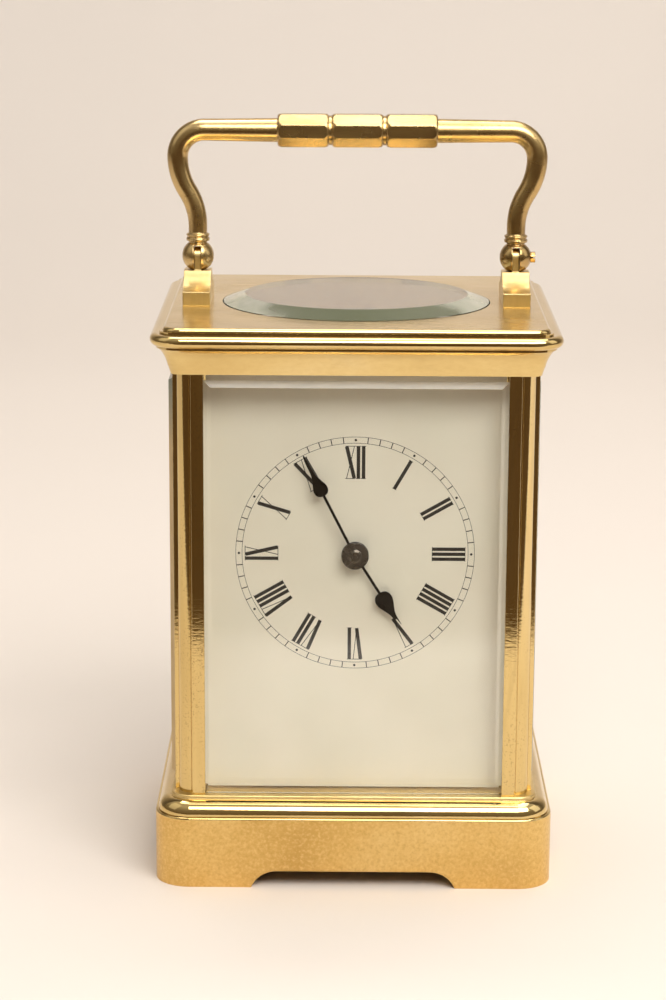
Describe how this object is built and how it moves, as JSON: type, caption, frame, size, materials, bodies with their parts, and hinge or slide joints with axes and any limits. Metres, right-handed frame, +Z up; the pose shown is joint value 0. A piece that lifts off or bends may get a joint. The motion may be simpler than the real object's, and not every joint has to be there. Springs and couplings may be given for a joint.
{
  "type": "carriage clock",
  "caption": "Brass carriage clock with glazed case, bail handle, hinged rear door, white dial and a going train with lever platform.",
  "frame": {"origin": "middle of the base's underside", "axes": "+Z up, the dial faces -Y, +X to the right of the dial"},
  "size_m": [0.0802, 0.074, 0.1517],
  "materials": {
    "brass": "polished and lacquered",
    "gilt_brass": "fine gilt",
    "steel": "polished",
    "blued_steel": "blued, almost black",
    "dial_enamel": "smooth white enamel",
    "ruby": "polished",
    "glass": "clear, bevelled"
  },
  "bodies": {
    "case": {"base_moulding": "brass", "base_floor": "brass", "floor_screws": "steel", "pillar_front_left": "brass", "pillar_front_right": "brass", "pillar_rear_left": "brass", "pillar_rear_right": "brass", "pillar_screws": "steel", "pillar_studs": "brass", "cornice": "brass", "top_glass": "glass", "front_glass": "glass", "left_glass": "glass", "right_glass": "glass", "handle_post_left": "brass", "handle_post_right": "brass", "post_screws": "steel", "dial": "dial_enamel", "dial_feet": "steel", "front_plate": "brass", "back_plate": "brass", "plate_pillars": "brass", "plate_screws": "steel", "click_stud": "steel", "click_spring": "steel", "platform": "gilt_brass", "platform_screws": "steel", "platform_jewels": "ruby", "escape_cock": "gilt_brass", "lever_cock": "gilt_brass", "balance_cock": "gilt_brass", "escape_potence": "gilt_brass", "hairspring": "steel"},
    "door": {"rear_door_frame": "brass", "rear_door_glass": "glass", "door_hinge_pins": "steel", "door_knob": "brass"},
    "handle": {"handle_bail": "brass", "handle_pivot_left": "steel", "handle_pivot_right": "steel"},
    "minute": {"minute_hand": "blued_steel", "hand_collet": "blued_steel", "cannon_pinion": "brass"},
    "hour": {"hour_hand": "blued_steel", "hour_wheel": "brass"},
    "centre": {"centre_wheel": "brass"},
    "intermediate": {"intermediate_wheel": "brass"},
    "barrel": {"barrel_great_wheel": "brass", "barrel_cover": "brass", "mainspring": "steel"},
    "winding": {"barrel_arbor": "steel", "ratchet_wheel": "steel"},
    "third": {"third_wheel": "brass"},
    "contrate": {"contrate_wheel": "brass"},
    "escape": {"escape_wheel": "steel"},
    "motion": {"minute_wheel": "brass"},
    "click": {"click": "steel"},
    "lever": {"lever": "steel"},
    "balance": {"balance_wheel": "brass"},
    "index": {"regulator_index": "steel"}
  },
  "joints": [
    {"name": "handle_swing", "type": "hinge", "parent": "case", "child": "handle", "pos_m": [0, 0, 0.12294], "axis": [1, 0, 0], "range_deg": [-88, 88]},
    {"name": "door_swing", "type": "hinge", "parent": "case", "child": "door", "pos_m": [0.02855, 0.0309, 0.06142], "axis": [0, 0, -1], "range_deg": [0, 110]},
    {"name": "minute_hand_turn", "type": "hinge", "parent": "case", "child": "minute", "pos_m": [0, 0, 0.06745], "axis": [0, 1, 0], "continuous": true},
    {"name": "hour_hand_turn", "type": "hinge", "parent": "case", "child": "hour", "pos_m": [0, 0, 0.06745], "axis": [0, 1, 0], "continuous": true},
    {"name": "centre_turn", "type": "hinge", "parent": "case", "child": "centre", "pos_m": [0, 0, 0.06745], "axis": [0, 1, 0], "continuous": true},
    {"name": "intermediate_turn", "type": "hinge", "parent": "case", "child": "intermediate", "pos_m": [0.0035, 0, 0.05608], "axis": [0, 1, 0], "continuous": true},
    {"name": "barrel_turn", "type": "hinge", "parent": "case", "child": "barrel", "pos_m": [-0.0015, 0, 0.04004], "axis": [0, 1, 0], "continuous": true},
    {"name": "third_turn", "type": "hinge", "parent": "case", "child": "third", "pos_m": [0.00819, 0, 0.07544], "axis": [0, 1, 0], "continuous": true},
    {"name": "contrate_turn", "type": "hinge", "parent": "case", "child": "contrate", "pos_m": [0, 0, 0.07996], "axis": [0, 1, 0], "continuous": true},
    {"name": "escape_turn", "type": "hinge", "parent": "case", "child": "escape", "pos_m": [0, 0.004, 0.0932], "axis": [0, 0, 1], "continuous": true},
    {"name": "minute_wheel_turn", "type": "hinge", "parent": "case", "child": "motion", "pos_m": [0.0052, 0, 0.06445], "axis": [0, 1, 0], "continuous": true},
    {"name": "winding_turn", "type": "hinge", "parent": "case", "child": "winding", "pos_m": [-0.0015, 0, 0.04004], "axis": [0, 1, 0], "range_deg": [0, 1800]},
    {"name": "click_lift", "type": "hinge", "parent": "case", "child": "click", "pos_m": [0.0071, 0.016, 0.04524], "axis": [0, -1, 0], "range_deg": [0, 12]},
    {"name": "lever_swing", "type": "hinge", "parent": "case", "child": "lever", "pos_m": [0, -0.00033, 0.0926], "axis": [0, 0, 1], "range_deg": [-5, 5]},
    {"name": "balance_swing", "type": "hinge", "parent": "case", "child": "balance", "pos_m": [0, -0.0066, 0.0962], "axis": [0, 0, 1], "range_deg": [-135, 135]},
    {"name": "index_turn", "type": "hinge", "parent": "case", "child": "index", "pos_m": [0, -0.0066, 0.10055], "axis": [0, 0, 1], "range_deg": [-20, 20]}
  ],
  "couplings": [
    {"joint": "hour_hand_turn", "follows": "minute_hand_turn", "ratio": 0.083333},
    {"joint": "centre_turn", "follows": "minute_hand_turn", "ratio": 1},
    {"joint": "intermediate_turn", "follows": "minute_hand_turn", "ratio": -0.16667},
    {"joint": "barrel_turn", "follows": "minute_hand_turn", "ratio": 0.02381},
    {"joint": "third_turn", "follows": "minute_hand_turn", "ratio": -10},
    {"joint": "contrate_turn", "follows": "minute_hand_turn", "ratio": 75},
    {"joint": "escape_turn", "follows": "minute_hand_turn", "ratio": 600},
    {"joint": "minute_wheel_turn", "follows": "minute_hand_turn", "ratio": -0.33333}
  ]
}
